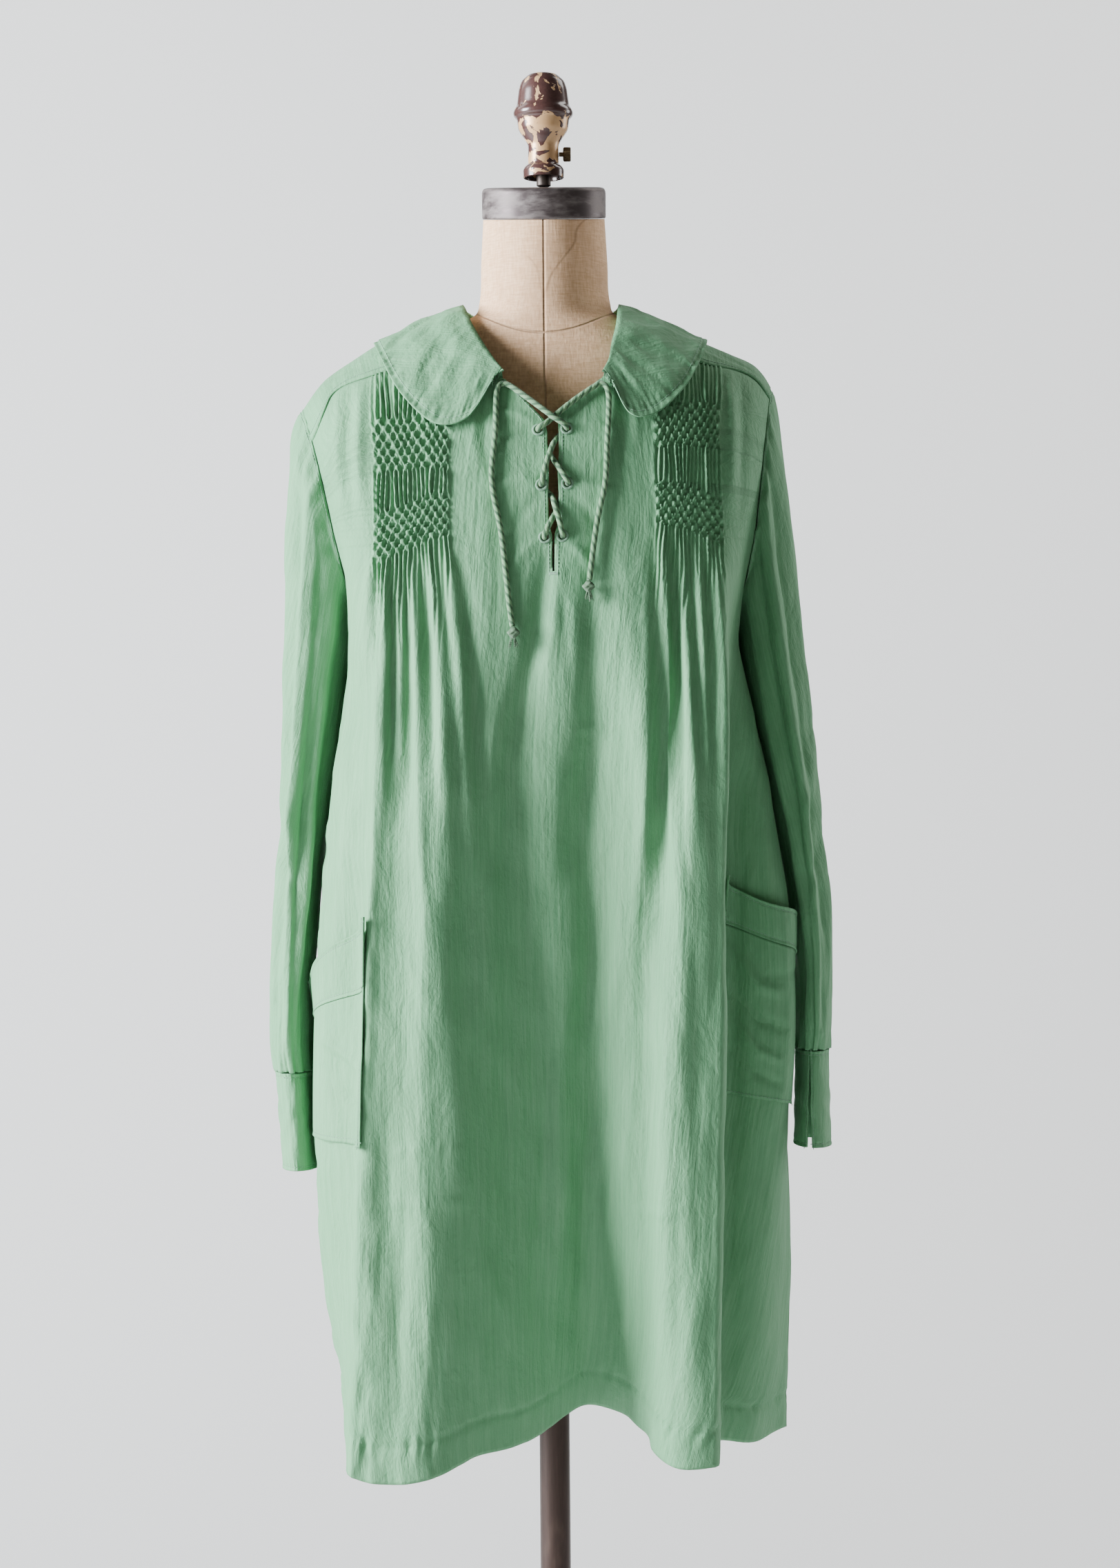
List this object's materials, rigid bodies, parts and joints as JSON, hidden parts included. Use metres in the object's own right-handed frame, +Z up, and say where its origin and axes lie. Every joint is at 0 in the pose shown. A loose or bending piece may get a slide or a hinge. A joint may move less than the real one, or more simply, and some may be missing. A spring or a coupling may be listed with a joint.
{
  "type": "tunic dress on a dress form stand",
  "caption": "Loose long-sleeved tunic dress with a laced V neck, flat collar, smocked front panels and hip pockets, on a limbless dress form with a pole and round base.",
  "frame": {"origin": "centre of the round base's underside, on the floor", "axes": "+Z up along the pole, -Y towards the front of the dress, +X towards the viewer's right"},
  "size_m": [0.4716, 0.42, 1.6145],
  "materials": {
    "cloth": "light matte slub cotton",
    "cord": "twisted matte cord",
    "linen": "plain linen cover",
    "cap_metal": "worn satin",
    "rod_metal": "dull steel",
    "finial_paint": "peeling paint over brass",
    "screw_brass": "knurled, dull",
    "pole_metal": "dark brown, satin",
    "stand_iron": "dark, satin"
  },
  "bodies": {
    "stand_and_dress": {"front": "cloth", "back": "cloth", "collar": "cloth", "yoke_left": "cloth", "yoke_right": "cloth", "sleeve_left": "cloth", "sleeve_right": "cloth", "cuff_left": "cloth", "cuff_right": "cloth", "pocket_left": "cloth", "pocket_right": "cloth", "pocket_band_left": "cloth", "pocket_band_right": "cloth", "lace_left": "cord", "lace_right": "cord", "lace_knot_left": "cord", "lace_knot_right": "cord", "form_body": "linen", "neck_cap": "cap_metal", "neck_rod": "rod_metal", "finial": "finial_paint", "form_plate": "stand_iron", "pole": "pole_metal", "stand_base": "stand_iron"},
    "thumb_screw": {"thumb_screw": "screw_brass"}
  },
  "joints": [
    {"name": "thumb_screw_turn", "type": "hinge", "parent": "stand_and_dress", "child": "thumb_screw", "pos_m": [0.018, 0, 1.5455], "axis": [1, 0, 0], "range_deg": [0, 180]}
  ]
}
